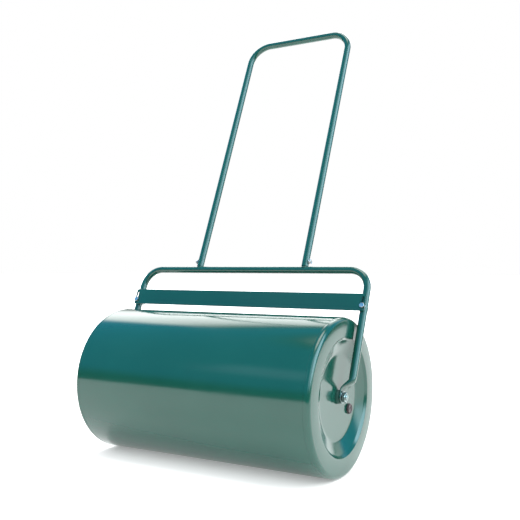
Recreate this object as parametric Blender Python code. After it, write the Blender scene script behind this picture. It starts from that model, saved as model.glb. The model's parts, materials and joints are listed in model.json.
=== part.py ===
"""Push-along lawn roller: a steel water-ballast drum in a bent-tube frame with a bolted handle and scraper.

Units are metres, +Z is up. The axle lies along X, and the origin is on the ground under the middle of
the axle. The frame, the handle and the scraper are drawn upright in the leaning frame's own axes:
X across, Z up the arms from the axle, -Y towards the front.
"""

import math

import bmesh
import bpy
from mathutils import Matrix, Vector

# ---------------------------------------------------------------- driving dimensions

GAP = 0.0003                      # clearance kept between pieces that touch

DRUM_RADIUS = 0.160
DRUM_HALF_LENGTH = 0.2867
SHEET = 0.0015                    # sheet thickness of the drum
DRUM_SIDES = 72
END_SIDES = 44
CORNER_RADIUS = 0.009             # rolled outer corner of the end plates
FLANGE_OVERLAP = 0.010            # how far the end plate's flange reaches into the barrel
JOGGLE_RUN = 0.0008               # the flange steps in over this length
JOGGLE_LAND = 0.0030              # plain rim between the step and the rolled corner
DISH_RADIUS = 0.120               # where the pressed recess starts
RIM_BEND = 0.002
WALL_RADIUS = 0.114               # where its wall eases from steep to shallow
WALL_DEPTH = 0.0045
WALL_BEND = 0.010
FLOOR_RADIUS = 0.0865             # where its wall meets the flat floor
DISH_DEPTH = 0.0145
FLOOR_BEND = 0.025
BEND_STEPS = 2
CORNER_STEPS = 4

AXLE_RADIUS = 0.006
AXLE_HALF_LENGTH = 0.2935
SLEEVE_INNER = 0.0095
SLEEVE_OUTER = 0.0110
BUSH_FLANGE = 0.014
BUSH_FLANGE_THICKNESS = 0.0045
BUSH_DEPTH = 0.024
AXLE_WASHER_RADIUS = 0.0125
THRUST_WASHER_THICKNESS = 0.0015
AXLE_WASHER_THICKNESS = 0.0016
AXLE_NUT_FLATS = 0.019            # across flats
AXLE_NUT_HEIGHT = 0.0070

PLUG_Y = 0.052                    # filler plug, behind and below the axle
PLUG_DROP = 0.032
PLUG_THREAD_RADIUS = 0.0075
PLUG_HEAD_RADIUS = 0.0100
PLUG_HEAD_HEIGHT = 0.0032
PLUG_THREAD_LENGTH = 0.0078
PLUG_SOFTENING = 0.0008
PLUG_DIMPLE = 0.0014              # depth of the hollow in its head
PLUG_HOLLOW_RADIUS = 0.0062       # the hollow inside its thread
SEAL_THICKNESS = 0.0016
SEAL_RADIUS = 0.0108
NECK_RADIUS = 0.0115
NECK_LENGTH = 0.0050

LEAN = math.radians(23.4)         # backward lean of the frame from upright
TUBE_RADIUS = 0.008
TUBE_WALL = 0.0012
TUBE_SIDES = 16
ARM_X = 0.298                     # centre line of the frame's arms
BAR_HEIGHT = 0.276                # axle to the frame's cross bar, along the arms
FRAME_BEND = 0.045
TAB_THICKNESS = 0.0030            # flattened tube end at the axle
TAB_HALF_WIDTH = 0.012
CRANK_LOW = 0.014                 # the tube end is cranked inwards between these heights
CRANK_HIGH = 0.038
CRANK_STEPS = 9
PRESS_LOW = 0.016                 # the flat end starts to swell into a tube here
ROUND_FROM = 0.044                # above this height the arm is a full round tube
ROUNDING_STEPS = 3
BEND_STATIONS = 8

LEG_X = 0.1417                    # centre line of the handle's legs
HANDLE_HEIGHT = 0.932             # axle to the middle of the grip, along the arms
HANDLE_BEND = 0.050
SPIGOT_RADIUS = 0.0065
SPIGOT_TOP = 0.325
HANDLE_SCREW_HEIGHT = 0.2965

SCREW_RADIUS = 0.003
SCREW_HEAD_HEIGHT = 0.0036
SMALL_WASHER_RADIUS = 0.0062
SMALL_WASHER_THICKNESS = 0.0012
SMALL_NUT_FLATS = 0.010
SMALL_NUT_HEIGHT = 0.0050

BLADE_LOW = 0.1804
BLADE_HIGH = 0.2184
BLADE_HALF_LENGTH = 0.3040
BLADE_THICKNESS = 0.0025
SPACER_THICKNESS = 0.0016
SCRAPER_BOLT_HEIGHT = 0.1915
SLOT_TRAVEL = 0.017               # how far the slot runs up from the bolt
SLOT_RADIUS = 0.0034
BLADE_CORNER = 0.003
BOLT_TAIL = 0.0015                # thread left showing past a nut
EDGE_SOFTENING = 0.0004
CUT_REACH = 0.010                 # how far a hole's cutter reaches past its middle

# ---------------------------------------------------------------- positions worked out from them

AXLE_Z = DRUM_RADIUS
FLOOR_X = DRUM_HALF_LENGTH - DISH_DEPTH
FLANGE_STEP_X = DRUM_HALF_LENGTH - CORNER_RADIUS - JOGGLE_LAND - JOGGLE_RUN
BUSH_FACE_X = FLOOR_X + GAP + BUSH_FLANGE_THICKNESS
THRUST_X = BUSH_FACE_X + GAP
TAB_INNER_X = THRUST_X + THRUST_WASHER_THICKNESS + GAP
TAB_X = TAB_INNER_X + TAB_THICKNESS / 2
AXLE_WASHER_X = TAB_INNER_X + TAB_THICKNESS + GAP
AXLE_NUT_X = AXLE_WASHER_X + AXLE_WASHER_THICKNESS + GAP
HANDLE_FOOT = BAR_HEIGHT + TUBE_RADIUS + 2 * GAP
TUBE_BORE = TUBE_RADIUS - TUBE_WALL
SPACER_FRONT = -(TUBE_RADIUS + GAP + SPACER_THICKNESS)
BLADE_BACK = SPACER_FRONT - GAP
BLADE_FRONT = BLADE_BACK - BLADE_THICKNESS
BOLT_HEAD_BACK = BLADE_FRONT - GAP
REAR_WASHER_Y = TUBE_RADIUS + GAP
REAR_NUT_Y = REAR_WASHER_Y + SMALL_WASHER_THICKNESS + GAP
LEFT = -1
RIGHT = 1
SIDES = (("left", LEFT), ("right", RIGHT))
QUARTER = math.pi / 2
SMOOTH_ANGLE = math.radians(35)
HEX_STEPS = 12                    # outline points of a hexagon: its corners and the middles of its flats


# ---------------------------------------------------------------- scene and materials

def clear_scene():
    for obj in list(bpy.data.objects):
        bpy.data.objects.remove(obj, do_unlink=True)


def make_material(name, colour, roughness, metallic):
    material = bpy.data.materials.new(name)
    material.use_nodes = True
    shader = material.node_tree.nodes["Principled BSDF"]
    shader.inputs["Base Color"].default_value = (*colour, 1.0)
    shader.inputs["Roughness"].default_value = roughness
    shader.inputs["Metallic"].default_value = metallic
    material.diffuse_color = (*colour, 1.0)
    return material


def make_materials():
    return {
        "drum_paint": make_material("drum_paint", (0.0042, 0.0545, 0.0400), 0.15, 0.0),
        "frame_paint": make_material("frame_paint", (0.0043, 0.0535, 0.0390), 0.17, 0.0),
        "zinc": make_material("zinc", (0.38, 0.39, 0.39), 0.32, 1.0),
        "bare_steel": make_material("bare_steel", (0.35, 0.35, 0.36), 0.40, 1.0),
        "nylon": make_material("nylon", (0.011, 0.058, 0.045), 0.45, 0.0),
        "plug_plastic": make_material("plug_plastic", (0.043, 0.033, 0.035), 0.60, 0.0),
        "rubber": make_material("rubber", (0.02, 0.02, 0.02), 0.75, 0.0),
    }


def add_empty(name, location, rotation=(0.0, 0.0, 0.0), parent=None):
    empty = bpy.data.objects.new(name, None)
    empty.empty_display_size = 0.05
    bpy.context.scene.collection.objects.link(empty)
    empty.location = location
    empty.rotation_euler = rotation
    empty.parent = parent
    return empty


def add_object(name, bm, material, parent, location=(0.0, 0.0, 0.0), rotation=(0.0, 0.0, 0.0)):
    bmesh.ops.recalc_face_normals(bm, faces=bm.faces)
    mesh = bpy.data.meshes.new(name)
    bm.to_mesh(mesh)
    bm.free()
    if material is not None:
        mesh.materials.append(material)
    mesh.shade_smooth()
    mesh.set_sharp_from_angle(angle=SMOOTH_ANGLE)
    obj = bpy.data.objects.new(name, mesh)
    bpy.context.scene.collection.objects.link(obj)
    obj.parent = parent
    obj.location = location
    obj.rotation_euler = rotation
    return obj


def add_cutter(target, name, bm, parent, location=(0.0, 0.0, 0.0), rotation=(0.0, 0.0, 0.0)):
    cutter = add_object(name, bm, None, parent, location, rotation)
    cutter.hide_render = True
    cutter.display_type = "WIRE"
    modifier = target.modifiers.new(name, "BOOLEAN")
    modifier.operation = "DIFFERENCE"
    modifier.solver = "EXACT"
    modifier.object = cutter
    return cutter


# ---------------------------------------------------------------- shapes

def turned(profile, sides, flat_down=False):
    """A closed ring turned about X from (radius, x) points, which run once round its section.

    With flat_down the radii are measured to the flats, and one flat faces straight down.
    """
    bm = bmesh.new()
    stretch = 1 / math.cos(math.pi / sides) if flat_down else 1.0
    turn = math.pi / sides if flat_down else 0.0
    rings = []
    for i in range(sides):
        angle = 2 * math.pi * i / sides + turn - QUARTER
        rings.append([
            bm.verts.new((x, r * stretch * math.cos(angle), r * stretch * math.sin(angle)))
            for r, x in profile
        ])
    for ring, after in zip(rings, rings[1:] + rings[:1]):
        for j in range(len(profile)):
            k = (j + 1) % len(profile)
            bm.faces.new((ring[j], ring[k], after[k], after[j]))
    return bm


def rod(radius, start, end, sides, softening=0.0):
    """A solid bar along X between two x positions, with softened ends."""
    bm = bmesh.new()
    sections = [(radius - softening, start)]
    if softening:
        sections += [(radius, start + softening), (radius, end - softening)]
    sections.append((radius - softening, end))
    rings = []
    for r, x in sections:
        rings.append([
            bm.verts.new((x, r * math.cos(2 * math.pi * i / sides), r * math.sin(2 * math.pi * i / sides)))
            for i in range(sides)
        ])
    bridge_rings(bm, rings)
    bm.faces.new(rings[0])
    bm.faces.new(rings[-1])
    return bm


def bridge_rings(bm, rings):
    for ring, after in zip(rings, rings[1:]):
        count = len(ring)
        for i in range(count):
            k = (i + 1) % count
            bm.faces.new((ring[i], ring[k], after[k], after[i]))


def washer(inner, outer, thickness, sides=20):
    """A flat washer about X, from x = 0 to its thickness."""
    return turned([(inner, 0.0), (outer, 0.0), (outer, thickness), (inner, thickness)], sides)


def hex_nut(flats, height, bore):
    """A hexagonal nut about X with chamfered corners, from x = 0 to its height."""
    bm = bmesh.new()
    rings = []
    chamfer = 0.10 * height
    for shrink, x in ((0.94, 0.0), (1.0, chamfer), (1.0, height - chamfer), (0.94, height)):
        rings.append([bm.verts.new((x, *hex_point(flats * shrink, i, HEX_STEPS))) for i in range(HEX_STEPS)])
    bore_rings = []
    for x in (height, 0.0):
        bore_rings.append([bm.verts.new((x, *circle_point(bore, i, HEX_STEPS))) for i in range(HEX_STEPS)])
    bridge_rings(bm, rings + bore_rings + rings[:1])
    return bm


def hex_head(flats, height, shank_radius, shank_length):
    """A hexagonal-headed bolt along X: the head ends at x = 0, and the shank runs on from there."""
    bm = bmesh.new()
    chamfer = 0.14 * height
    rings = []
    for shrink, x in ((0.90, -height), (1.0, -height + chamfer), (1.0, 0.0)):
        rings.append([bm.verts.new((x, *hex_point(flats * shrink, i, HEX_STEPS))) for i in range(HEX_STEPS)])
    soft = EDGE_SOFTENING
    shank = ((shank_radius, 0.0), (shank_radius, shank_length - soft), (shank_radius - soft, shank_length))
    for r, x in shank:
        rings.append([bm.verts.new((x, *circle_point(r, i, HEX_STEPS))) for i in range(HEX_STEPS)])
    bridge_rings(bm, rings)
    bm.faces.new(rings[0])
    bm.faces.new(rings[-1])
    return bm


def hex_point(flats, index, count):
    """The point of a hexagon's outline in the direction of one of count equal steps."""
    angle = 2 * math.pi * index / count
    sector = (angle + math.pi / 6) % (math.pi / 3) - math.pi / 6
    radius = flats / 2 / math.cos(sector)
    return radius * math.cos(angle), radius * math.sin(angle)


def circle_point(radius, index, count):
    angle = 2 * math.pi * index / count
    return radius * math.cos(angle), radius * math.sin(angle)


def eased_line(corners):
    """An open (radius, x) line from (radius, x, bend, steps) corners, each rounded in that many steps."""
    points = []
    for i, (r, x, bend, steps) in enumerate(corners):
        here = Vector((r, x))
        if not steps:
            points.append(tuple(here))
            continue
        run_in = (here - Vector(corners[i - 1][:2])).normalized()
        run_out = (Vector(corners[i + 1][:2]) - here).normalized()
        turn = run_in.angle_signed(run_out)
        inward = Vector((run_in.y, -run_in.x)) * math.copysign(1.0, turn)
        start = here - run_in * bend * math.tan(abs(turn) / 2)
        centre = start + inward * bend
        for step in range(steps + 1):
            spoke = Matrix.Rotation(-turn * step / steps, 2) @ (start - centre)
            points.append(tuple(centre + spoke))
    return points


def arc(centre, radius, start, end, steps):
    """Points on an arc in the (radius, x) plane, angles in degrees from the radius direction."""
    points = []
    for i in range(steps + 1):
        angle = math.radians(start + (end - start) * i / steps)
        points.append((centre[0] + radius * math.cos(angle), centre[1] + radius * math.sin(angle)))
    return points


def offset_open(points, distance):
    """A line beside an open line of (radius, x) points, at a distance to the right of its run."""
    moved = []
    for i, point in enumerate(points):
        before = Vector(points[max(i - 1, 0)])
        here = Vector(point)
        after = Vector(points[min(i + 1, len(points) - 1)])
        first = (here - before).normalized() if i else (after - here).normalized()
        second = (after - here).normalized() if i < len(points) - 1 else first
        normal_a = Vector((first.y, -first.x))
        normal_b = Vector((second.y, -second.x))
        mitre = (normal_a + normal_b).normalized()
        moved.append(tuple(here + mitre * distance / max(mitre.dot(normal_a), 0.5)))
    return moved


class Station:
    """One cross-section of a swept tube: its place, its run and its shape."""

    def __init__(self, x, z, heading, half_thickness, half_width, flatness=0.0):
        self.centre = Vector((x, 0.0, z))
        self.side = Vector((math.cos(heading), 0.0, -math.sin(heading)))
        self.half_thickness = half_thickness
        self.half_width = half_width
        self.flatness = flatness

    def ring(self, bm, sides):
        across = Vector((0.0, 1.0, 0.0))
        verts = []
        for i in range(sides):
            angle = 2 * math.pi * (i + 0.5) / sides
            thick = self.half_thickness
            straight = max(self.half_width - thick, 0.0)
            slab = straight * max(-1.0, min(1.0, 1.5 * math.sin(angle))) + thick * math.sin(angle)
            rounded = self.half_width * math.sin(angle)
            width = slab * self.flatness + rounded * (1 - self.flatness)
            verts.append(bm.verts.new(self.centre + self.side * thick * math.cos(angle) + across * width))
        return verts


def swept(stations, sides):
    bm = bmesh.new()
    rings = [station.ring(bm, sides) for station in stations]
    bridge_rings(bm, rings)
    bm.faces.new(rings[0])
    bm.faces.new(rings[-1])
    return bm


def loop_stations(half_span, foot, top, bend, radius):
    """Stations of an upside-down U: up one leg, round two bends and down the other leg."""
    stations = [Station(half_span, foot, 0.0, radius, radius)]
    centre_x = half_span - bend
    centre_z = top - bend
    for i in range(BEND_STATIONS + 1):
        turn = QUARTER * i / BEND_STATIONS
        stations.append(Station(
            centre_x + bend * math.cos(turn), centre_z + bend * math.sin(turn), -turn, radius, radius))
    return stations + mirrored(stations)


def mirrored(stations):
    """The same stations on the other side of the middle, in the order that goes on from them."""
    copies = []
    for station in reversed(stations):
        copy = Station(-station.centre.x, station.centre.z, 0.0,
                       station.half_thickness, station.half_width, station.flatness)
        copy.side = Vector((-station.side.x, 0.0, station.side.z))
        copies.append(copy)
    return copies


def smooth_step(value):
    value = max(0.0, min(1.0, value))
    return value * value * (3 - 2 * value)


# ---------------------------------------------------------------- drum

def build_barrel(parent, materials):
    outer = DRUM_RADIUS
    inner = DRUM_RADIUS - SHEET
    end = FLANGE_STEP_X - GAP
    bm = turned([(inner, -end), (outer, -end), (outer, end), (inner, end)], DRUM_SIDES, flat_down=True)
    return add_object("drum_barrel", bm, materials["drum_paint"], parent)


def end_plate_line():
    """The outer face of an end plate from the flange's inner end to the middle hole."""
    tuck = DRUM_RADIUS - SHEET - GAP
    return eased_line([
        (tuck, FLANGE_STEP_X - FLANGE_OVERLAP, 0, 0),
        (tuck, FLANGE_STEP_X, 0, 0),
        (DRUM_RADIUS, FLANGE_STEP_X + JOGGLE_RUN, 0, 0),
        (DRUM_RADIUS, DRUM_HALF_LENGTH, CORNER_RADIUS, CORNER_STEPS),
        (DISH_RADIUS, DRUM_HALF_LENGTH, RIM_BEND, BEND_STEPS),
        (WALL_RADIUS, DRUM_HALF_LENGTH - WALL_DEPTH, WALL_BEND, BEND_STEPS),
        (FLOOR_RADIUS, FLOOR_X, FLOOR_BEND, BEND_STEPS),
        (SLEEVE_INNER, FLOOR_X, 0, 0),
    ])


def build_end_plate(side, sign, parent, materials):
    face = end_plate_line()
    back = offset_open(face, -SHEET)
    section = [(r, sign * x) for r, x in face + back[::-1]]
    bm = turned(section, END_SIDES)
    plate = add_object("end_plate_" + side, bm, materials["drum_paint"], parent)
    if sign == RIGHT:
        hole = rod(PLUG_THREAD_RADIUS + GAP, FLOOR_X - CUT_REACH, FLOOR_X + CUT_REACH, 20)
        add_cutter(plate, "filler_hole_cutter", hole, parent, (0.0, PLUG_Y, -PLUG_DROP))
    return plate


def build_axle_sleeve(parent, materials):
    end = FLOOR_X - SHEET - GAP
    bm = turned([
        (SLEEVE_INNER, -end), (SLEEVE_OUTER, -end), (SLEEVE_OUTER, end), (SLEEVE_INNER, end),
    ], 24)
    add_object("axle_sleeve", bm, materials["bare_steel"], parent)


def build_bush(side, sign, parent, materials):
    body = SLEEVE_INNER - GAP
    bore = AXLE_RADIUS + GAP
    root = FLOOR_X + GAP
    section = [
        (bore, BUSH_FACE_X - BUSH_DEPTH), (body - EDGE_SOFTENING, BUSH_FACE_X - BUSH_DEPTH),
        (body, BUSH_FACE_X - BUSH_DEPTH + EDGE_SOFTENING), (body, root), (BUSH_FLANGE, root),
        (BUSH_FLANGE, BUSH_FACE_X - EDGE_SOFTENING), (BUSH_FLANGE - EDGE_SOFTENING, BUSH_FACE_X),
        (bore, BUSH_FACE_X),
    ]
    bm = turned([(r, sign * x) for r, x in section], 24)
    add_object("axle_bush_" + side, bm, materials["nylon"], parent)


def build_filler(drum, cap, materials):
    """The threaded neck behind the right end plate, and the plug and seal that close it."""
    neck_face = FLOOR_X - SHEET - GAP
    bore = PLUG_THREAD_RADIUS + GAP
    neck = turned([
        (bore, neck_face - NECK_LENGTH), (NECK_RADIUS, neck_face - NECK_LENGTH),
        (NECK_RADIUS, neck_face), (bore, neck_face),
    ], 20)
    add_object("filler_neck", neck, materials["bare_steel"], drum, (0.0, PLUG_Y, -PLUG_DROP))

    seal_start = GAP
    seal = turned([
        (bore, seal_start), (SEAL_RADIUS, seal_start),
        (SEAL_RADIUS, seal_start + SEAL_THICKNESS), (bore, seal_start + SEAL_THICKNESS),
    ], 20)
    add_object("filler_seal", seal, materials["rubber"], cap)

    under_head = seal_start + SEAL_THICKNESS + GAP
    add_object("filler_plug", plug_shape(under_head), materials["plug_plastic"], cap)


def plug_shape(under_head):
    """A round plug with a hollow in its head, its hollow thread running into the drum."""
    bm = bmesh.new()
    sides = 20
    soft = PLUG_SOFTENING
    tail = under_head - PLUG_THREAD_LENGTH
    head_end = under_head + PLUG_HEAD_HEIGHT
    sections = [
        (PLUG_HOLLOW_RADIUS, under_head + GAP),
        (PLUG_HOLLOW_RADIUS, tail),
        (PLUG_THREAD_RADIUS - soft, tail),
        (PLUG_THREAD_RADIUS, tail + soft),
        (PLUG_THREAD_RADIUS, under_head),
        (PLUG_HEAD_RADIUS, under_head),
        (PLUG_HEAD_RADIUS, head_end - soft),
        (PLUG_HEAD_RADIUS - soft, head_end),
        (PLUG_HEAD_RADIUS - 2 * soft, head_end),
        (PLUG_HEAD_RADIUS - 3 * soft, head_end - PLUG_DIMPLE),
    ]
    rings = []
    for r, x in sections:
        rings.append([bm.verts.new((x, *circle_point(r, i, sides))) for i in range(sides)])
    bridge_rings(bm, rings)
    bm.faces.new(rings[0])
    bm.faces.new(rings[-1])
    return bm


# ---------------------------------------------------------------- axle

def build_axle(parent, materials):
    bm = rod(AXLE_RADIUS, -AXLE_HALF_LENGTH, AXLE_HALF_LENGTH, 20, 2 * EDGE_SOFTENING)
    add_object("axle_rod", bm, materials["zinc"], parent)
    for side, sign in SIDES:
        turn = (0.0, 0.0, 0.0) if sign == RIGHT else (0.0, 0.0, math.pi)
        bore = AXLE_RADIUS + GAP
        stack = (
            ("thrust_washer_", washer(bore, AXLE_WASHER_RADIUS, THRUST_WASHER_THICKNESS), "nylon", THRUST_X),
            ("axle_washer_", washer(bore, AXLE_WASHER_RADIUS, AXLE_WASHER_THICKNESS), "zinc", AXLE_WASHER_X),
            ("axle_nut_", hex_nut(AXLE_NUT_FLATS, AXLE_NUT_HEIGHT, bore), "zinc", AXLE_NUT_X),
        )
        for name, bm, material, start in stack:
            add_object(name + side, bm, materials[material], parent, (sign * start, 0, 0), turn)


# ---------------------------------------------------------------- lower frame

def arm_stations():
    """Stations up the right arm: the rounded tab, the crank, and the change from flat to round."""
    stations = []
    half = TAB_THICKNESS / 2
    for degrees in (80, 60, 35):
        angle = math.radians(degrees)
        stations.append(Station(TAB_X, -TAB_HALF_WIDTH * math.sin(angle), 0.0,
                                half, TAB_HALF_WIDTH * math.cos(angle), 1.0))
    stations.append(Station(TAB_X, 0.0, 0.0, half, TAB_HALF_WIDTH, 1.0))
    rise = CRANK_HIGH - CRANK_LOW
    shift = ARM_X - TAB_X
    for i in range(CRANK_STEPS + 1):
        part = i / CRANK_STEPS
        height = CRANK_LOW + rise * part
        slope = shift * 6 * part * (1 - part) / rise
        place = (TAB_X + shift * smooth_step(part), height)
        stations.append(Station(*place, math.atan(slope), *pressed(height)))
    for i in range(1, ROUNDING_STEPS + 1):
        height = CRANK_HIGH + (ROUND_FROM - CRANK_HIGH) * i / ROUNDING_STEPS
        stations.append(Station(ARM_X, height, 0.0, *pressed(height)))
    return stations


def pressed(height):
    """Half thickness, half width and flatness of the arm at one height: flat at the axle, round above."""
    part = smooth_step((height - PRESS_LOW) / (ROUND_FROM - PRESS_LOW))
    half = TAB_THICKNESS / 2
    return (half + (TUBE_RADIUS - half) * part,
            TAB_HALF_WIDTH + (TUBE_RADIUS - TAB_HALF_WIDTH) * part, 1 - part)


def build_lower_frame(parent, materials):
    arm = arm_stations()
    loop = loop_stations(ARM_X, ROUND_FROM, BAR_HEIGHT, FRAME_BEND, TUBE_RADIUS)
    stations = arm + loop[1:-1] + mirrored(arm)
    bm = swept(stations, TUBE_SIDES)
    frame = add_object("lower_frame", bm, materials["frame_paint"], parent)
    bore = swept(loop_stations(ARM_X, ROUND_FROM, BAR_HEIGHT, FRAME_BEND, TUBE_BORE), TUBE_SIDES)
    add_cutter(frame, "frame_bore_cutter", bore, parent)
    for side, sign in SIDES:
        axle_hole = rod(AXLE_RADIUS + GAP, -CUT_REACH, CUT_REACH, 20)
        add_cutter(frame, "axle_hole_cutter_" + side, axle_hole, parent, (sign * TAB_X, 0, 0))
        bolt_hole = rod(SCREW_RADIUS + GAP, -CUT_REACH, CUT_REACH, 12)
        add_cutter(frame, "bolt_hole_cutter_" + side, bolt_hole, parent,
                   (sign * ARM_X, 0, SCRAPER_BOLT_HEIGHT), (0, 0, QUARTER))


# ---------------------------------------------------------------- handle

def build_handle(parent, materials):
    outer = swept(loop_stations(LEG_X, HANDLE_FOOT, HANDLE_HEIGHT, HANDLE_BEND, TUBE_RADIUS), TUBE_SIDES)
    handle = add_object("handle", outer, materials["frame_paint"], parent)
    below = HANDLE_FOOT - CUT_REACH
    bore = swept(loop_stations(LEG_X, below, HANDLE_HEIGHT, HANDLE_BEND, TUBE_BORE), TUBE_SIDES)
    add_cutter(handle, "handle_bore_cutter", bore, parent)
    for side, sign in SIDES:
        hole = rod(SCREW_RADIUS + GAP, 0.0, CUT_REACH, 12)
        turn = (0.0, 0.0, 0.0) if sign == RIGHT else (0.0, 0.0, math.pi)
        place = (sign * LEG_X, 0, HANDLE_SCREW_HEIGHT)
        add_cutter(handle, "handle_hole_cutter_" + side, hole, parent, place, turn)
        build_spigot(side, sign, parent, materials)
        build_handle_screw(side, sign, parent, materials)


def build_spigot(side, sign, parent, materials):
    """A peg standing on the cross bar, with a saddle-shaped foot and a tapped hole in its outer side."""
    bm = rod(SPIGOT_RADIUS, BAR_HEIGHT, SPIGOT_TOP, 20, 2 * EDGE_SOFTENING)
    spigot = add_object("handle_spigot_" + side, bm, materials["frame_paint"], parent,
                        (sign * LEG_X, 0, 0), (0, -QUARTER, 0))
    saddle = rod(TUBE_RADIUS + GAP, -CUT_REACH, CUT_REACH, 32)
    add_cutter(spigot, "saddle_cutter_" + side, saddle, parent, (sign * LEG_X, 0, BAR_HEIGHT))
    tapped = rod(SCREW_RADIUS + GAP, 0.0, CUT_REACH, 12)
    turn = (0.0, 0.0, 0.0) if sign == RIGHT else (0.0, 0.0, math.pi)
    add_cutter(spigot, "tapped_hole_cutter_" + side, tapped, parent,
               (sign * LEG_X, 0, HANDLE_SCREW_HEIGHT), turn)


def build_handle_screw(side, sign, parent, materials):
    washer_start = TUBE_RADIUS + GAP
    head_back = washer_start + SMALL_WASHER_THICKNESS + GAP
    shank = head_back - 2 * GAP
    turn = (0.0, 0.0, math.pi) if sign == RIGHT else (0.0, 0.0, 0.0)
    head = hex_head(SMALL_NUT_FLATS, SCREW_HEAD_HEIGHT, SCREW_RADIUS, shank)
    add_object("handle_screw_" + side, head, materials["zinc"], parent,
               (sign * (LEG_X + head_back), 0, HANDLE_SCREW_HEIGHT), turn)
    ring = washer(SCREW_RADIUS + GAP, SMALL_WASHER_RADIUS, SMALL_WASHER_THICKNESS, 16)
    outward = (0.0, 0.0, 0.0) if sign == RIGHT else (0.0, 0.0, math.pi)
    add_object("handle_washer_" + side, ring, materials["zinc"], parent,
               (sign * (LEG_X + washer_start), 0, HANDLE_SCREW_HEIGHT), outward)


# ---------------------------------------------------------------- scraper

def blade_outline():
    """The blade's front outline with rounded corners, as (x, z) points about its own middle."""
    half_height = (BLADE_HIGH - BLADE_LOW) / 2
    corner = BLADE_CORNER
    points = []
    for centre_x, centre_z, start in (
        (BLADE_HALF_LENGTH - corner, half_height - corner, 0),
        (-BLADE_HALF_LENGTH + corner, half_height - corner, 90),
        (-BLADE_HALF_LENGTH + corner, -half_height + corner, 180),
        (BLADE_HALF_LENGTH - corner, -half_height + corner, 270),
    ):
        points += arc((centre_x, centre_z), corner, start, start + 90, 3)
    return points


def prism(outline, front, back):
    """A plate from an (x, z) outline, between two y positions."""
    bm = bmesh.new()
    rings = [[bm.verts.new((x, y, z)) for x, z in outline] for y in (front, back)]
    bridge_rings(bm, rings)
    bm.faces.new(rings[0])
    bm.faces.new(rings[1])
    return bm


def slot_outline():
    """The blade's slot as (x, z) points, from the bolt's place upwards."""
    return arc((0.0, 0.0), SLOT_RADIUS, 180, 360, 6) + arc((0.0, SLOT_TRAVEL), SLOT_RADIUS, 0, 180, 6)


def build_scraper(frame, slide, materials):
    middle = (BLADE_LOW + BLADE_HIGH) / 2
    blade = add_object("scraper_blade", prism(blade_outline(), BLADE_FRONT, BLADE_BACK),
                       materials["frame_paint"], slide, (0, 0, middle - SCRAPER_BOLT_HEIGHT))
    for side, sign in SIDES:
        slot = prism(slot_outline(), BLADE_FRONT - CUT_REACH, BLADE_BACK + CUT_REACH)
        add_cutter(blade, "slot_cutter_" + side, slot, slide, (sign * ARM_X, 0, 0))
        build_scraper_fixing(side, sign, frame, materials)


def build_scraper_fixing(side, sign, parent, materials):
    place = (sign * ARM_X, BOLT_HEAD_BACK, SCRAPER_BOLT_HEIGHT)
    turn = (0.0, 0.0, QUARTER)
    reach = REAR_NUT_Y + SMALL_NUT_HEIGHT + BOLT_TAIL - BOLT_HEAD_BACK
    bolt = hex_head(SMALL_NUT_FLATS, SCREW_HEAD_HEIGHT, SCREW_RADIUS, reach)
    add_object("scraper_bolt_" + side, bolt, materials["zinc"], parent, place, turn)
    spacer = washer(SCREW_RADIUS + GAP, SMALL_WASHER_RADIUS, SPACER_THICKNESS, 16)
    add_object("scraper_spacer_" + side, spacer, materials["zinc"], parent,
               (sign * ARM_X, SPACER_FRONT, SCRAPER_BOLT_HEIGHT), turn)
    rear = washer(SCREW_RADIUS + GAP, SMALL_WASHER_RADIUS, SMALL_WASHER_THICKNESS, 16)
    add_object("scraper_washer_" + side, rear, materials["zinc"], parent,
               (sign * ARM_X, REAR_WASHER_Y, SCRAPER_BOLT_HEIGHT), turn)
    nut = hex_nut(SMALL_NUT_FLATS, SMALL_NUT_HEIGHT, SCREW_RADIUS + GAP)
    add_object("scraper_nut_" + side, nut, materials["zinc"], parent,
               (sign * ARM_X, REAR_NUT_Y, SCRAPER_BOLT_HEIGHT), turn)


# ---------------------------------------------------------------- assembly

def build():
    clear_scene()
    materials = make_materials()
    drum = add_empty("drum_axis", (0, 0, AXLE_Z))
    frame = add_empty("frame_axis", (0, 0, AXLE_Z), (-LEAN, 0, 0))
    cap = add_empty("filler_axis", (FLOOR_X, PLUG_Y, -PLUG_DROP), parent=drum)
    slide = add_empty("scraper_axis", (0, 0, SCRAPER_BOLT_HEIGHT), parent=frame)

    build_barrel(drum, materials)
    for side, sign in SIDES:
        build_end_plate(side, sign, drum, materials)
        build_bush(side, sign, drum, materials)
    build_axle_sleeve(drum, materials)
    build_filler(drum, cap, materials)
    build_axle(frame, materials)
    build_lower_frame(frame, materials)
    build_handle(frame, materials)
    build_scraper(frame, slide, materials)


build()
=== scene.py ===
"""Looks of the lawn roller: finer skins for the CAD pieces, their finishes, and a white studio.

Units are metres in the row frame: X along the axle, +Y the way the handle leans, Z up from the ground.
Pieces of the leaning frame are drawn upright about the axle, X across, Z up the arms, -Y to the front,
and then leaned back by FRAME_MATRIX.
"""

import json
import math

import bmesh
import bpy
from mathutils import Matrix, Vector


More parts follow.
